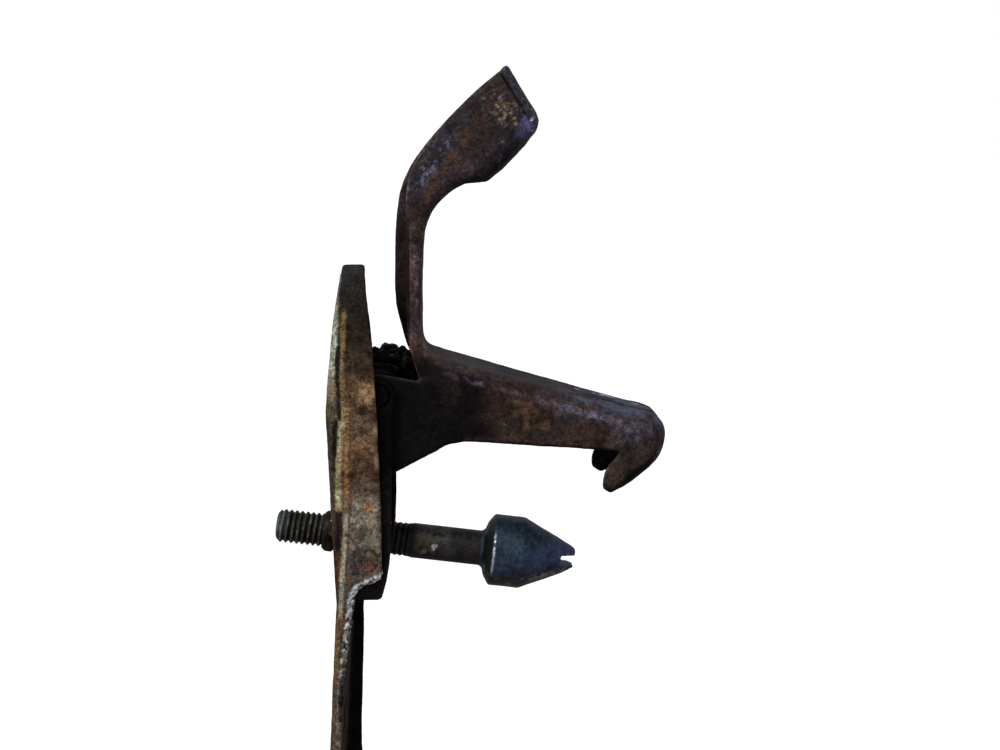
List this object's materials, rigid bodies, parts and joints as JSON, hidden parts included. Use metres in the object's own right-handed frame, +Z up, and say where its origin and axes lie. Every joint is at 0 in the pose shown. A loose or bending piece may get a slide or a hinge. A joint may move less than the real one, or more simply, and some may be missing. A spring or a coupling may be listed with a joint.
{
  "type": "hood latch striker with safety catch",
  "caption": "Pressed steel hood latch half: plate carrying an adjustable cone-headed catch bolt and a sprung safety catch with hook, arm and finger lever.",
  "frame": {"origin": "on the flat mounting face of the base plate, on its centre line between the two base rivets", "axes": "+X out of the plate on the side of the catch bolt and hook, +Y across the plate, +Z up the plate towards the finger lever"},
  "size_m": [0.1126, 0.046, 0.2144],
  "materials": {
    "plate": "old paint over rusted pressed steel",
    "bracket": "dark greasy pressed steel",
    "rivet": "rusted steel rivet",
    "side_rivet": "rusted flush rivet",
    "bush": "dark rusted steel",
    "nut": "dark oily steel",
    "bolt": "worn black oxide, grey thread",
    "pin": "dull steel",
    "stop": "dull rusted steel",
    "sleeve": "dark greasy steel",
    "spring": "spring wire caked in black grease",
    "catch": "worn black paint over brown rust"
  },
  "bodies": {
    "plate": {"base_plate": "plate", "pivot_bracket": "bracket", "base_rivet_near": "rivet", "base_rivet_far": "rivet", "side_rivet": "side_rivet", "threaded_bush": "bush", "pivot_pin": "pin", "stop_pin": "stop", "spring_sleeve": "sleeve", "torsion_spring": "spring"},
    "catch": {"safety_catch": "catch"},
    "bolt": {"catch_bolt": "bolt"},
    "nut": {"lock_nut": "nut"}
  },
  "joints": [
    {"name": "catch_release", "type": "hinge", "parent": "plate", "child": "catch", "pos_m": [0.01421, 0, 0.0147], "axis": [0, -1, 0], "range_deg": [0, 12], "stiffness_Nm_per_rad": 0.9, "springref_deg": -28.65, "deforming": ["torsion_spring"]},
    {"name": "bolt_adjust", "type": "slide", "parent": "plate", "child": "bolt", "axis": [0.9926, 0, -0.1216], "range_m": [-0.006, 0.008]},
    {"name": "nut_turn", "type": "hinge", "parent": "plate", "child": "nut", "pos_m": [0.00281, 0, -0.0286], "axis": [0.9926, 0, -0.1216], "continuous": true}
  ]
}
